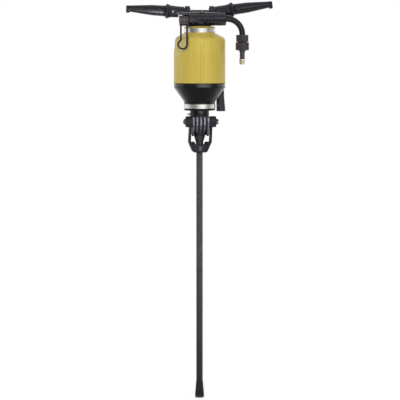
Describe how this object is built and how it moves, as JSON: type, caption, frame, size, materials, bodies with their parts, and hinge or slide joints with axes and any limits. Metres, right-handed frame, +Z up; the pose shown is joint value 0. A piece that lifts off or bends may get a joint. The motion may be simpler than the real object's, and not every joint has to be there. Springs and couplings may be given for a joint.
{
  "type": "pneumatic rock drill",
  "caption": "Hand held pneumatic rock drill with cross grips, throttle lever, swivel air inlet, round silencer, steel retainer yoke and a hexagon drill steel with a chisel bit.",
  "frame": {"origin": "middle of the bit's cutting edge, on the drilling axis, at the lowest point of the part", "axes": "+Z up the drilling axis from the bit to the grips, +X towards the air inlet along the grips, -Y towards the throttle lever and the retainer yoke"},
  "size_m": [0.5581, 0.1976, 1.5077],
  "materials": {
    "silencer_yellow": "moulded, satin",
    "silencer_black": "moulded, satin",
    "black_paint": "semi-gloss black enamel on a casting",
    "black_nuts": "blackened, edges rubbed",
    "forged_black": "black forged scale",
    "stainless": "bright stainless strip",
    "grip_rubber": "semi-gloss rubber",
    "seal_rubber": "plain",
    "zinc_steel": "zinc plated",
    "bolt_steel": "dark plated",
    "bronze": "machined",
    "hardened_steel": "ground",
    "cylinder_iron": "machined casting",
    "carbide": "ground"
  },
  "bodies": {
    "machine": {"front_bush": "bronze", "stem_bush": "bronze", "ratchet_ring": "hardened_steel", "blow_tube": "hardened_steel", "valve_seat": "hardened_steel", "valve_box": "hardened_steel", "cylinder": "cylinder_iron", "side_rods": "bolt_steel", "side_rod_nuts": "bolt_steel", "front_head": "black_paint", "grease_fitting": "zinc_steel", "retainer_bolt": "bolt_steel", "retainer_nut": "bolt_steel", "retainer_washers": "bolt_steel", "cotter_pin": "bolt_steel", "silencer_shell": "silencer_yellow", "silencer_cone": "silencer_black", "upper_band": "stainless", "lower_band": "stainless", "clamp_screws": "stainless", "backhead": "black_paint", "oil_plug": "zinc_steel", "swivel_gland": "bronze", "swivel_seal": "seal_rubber", "inlet_strainer": "bronze", "left_arm": "black_paint", "right_arm": "black_paint", "left_grip_stem": "hardened_steel", "right_grip_stem": "hardened_steel", "left_grip_pin": "bolt_steel", "right_grip_pin": "bolt_steel", "left_grip": "grip_rubber", "right_grip": "grip_rubber", "arm_bolts": "bolt_steel", "arm_washers": "bolt_steel"},
    "throttle": {"throttle_plug": "black_nuts", "throttle_lever": "black_paint", "throttle_seals": "seal_rubber", "throttle_ring": "hardened_steel"},
    "inlet": {"inlet_pipe": "black_paint", "pipe_nut": "black_nuts", "union_nut": "black_nuts", "nipple_gasket": "seal_rubber", "hose_nipple": "zinc_steel"},
    "retainer": {"retainer_yoke": "forged_black"},
    "chuck": {"rotation_sleeve": "hardened_steel", "chuck_bush": "hardened_steel"},
    "steel": {"drill_steel": "forged_black", "bit_insert": "carbide"},
    "piston": {"piston": "hardened_steel", "rifle_nut": "bronze"},
    "rifle": {"rifle_bar": "hardened_steel", "pawls": "hardened_steel", "pawl_plungers": "hardened_steel"},
    "valve": {"valve_plate": "hardened_steel"}
  },
  "joints": [
    {"name": "throttle_turn", "type": "hinge", "parent": "machine", "child": "throttle", "pos_m": [-0.0795, -0.02, 1.4397], "axis": [-1, 0, 0], "range_deg": [0, 90]},
    {"name": "inlet_swivel", "type": "hinge", "parent": "machine", "child": "inlet", "pos_m": [0.097, -0.02, 1.4397], "axis": [-1, 0, 0], "range_deg": [-70, 130]},
    {"name": "retainer_swing", "type": "hinge", "parent": "machine", "child": "retainer", "pos_m": [0, -0.046, 1.0526], "axis": [-1, 0, 0], "range_deg": [0, 110]},
    {"name": "chuck_spin", "type": "hinge", "parent": "machine", "child": "chuck", "pos_m": [0, 0, 1.12], "axis": [0, 0, 1], "continuous": true},
    {"name": "steel_slide", "type": "slide", "parent": "chuck", "child": "steel", "axis": [0, 0, -1], "range_m": [0, 0.01]},
    {"name": "piston_stroke", "type": "slide", "parent": "chuck", "child": "piston", "axis": [0, 0, 1], "range_m": [0, 0.059]},
    {"name": "rifle_turn", "type": "hinge", "parent": "chuck", "child": "rifle", "pos_m": [0, 0, 1.3713], "axis": [0, 0, 1], "range_deg": [0, 24]},
    {"name": "valve_flip", "type": "slide", "parent": "machine", "child": "valve", "axis": [0, 0, 1], "range_m": [0, 0.0018]}
  ],
  "couplings": [
    {"joint": "rifle_turn", "follows": "piston_stroke", "rad_per_m": 6.9813}
  ]
}
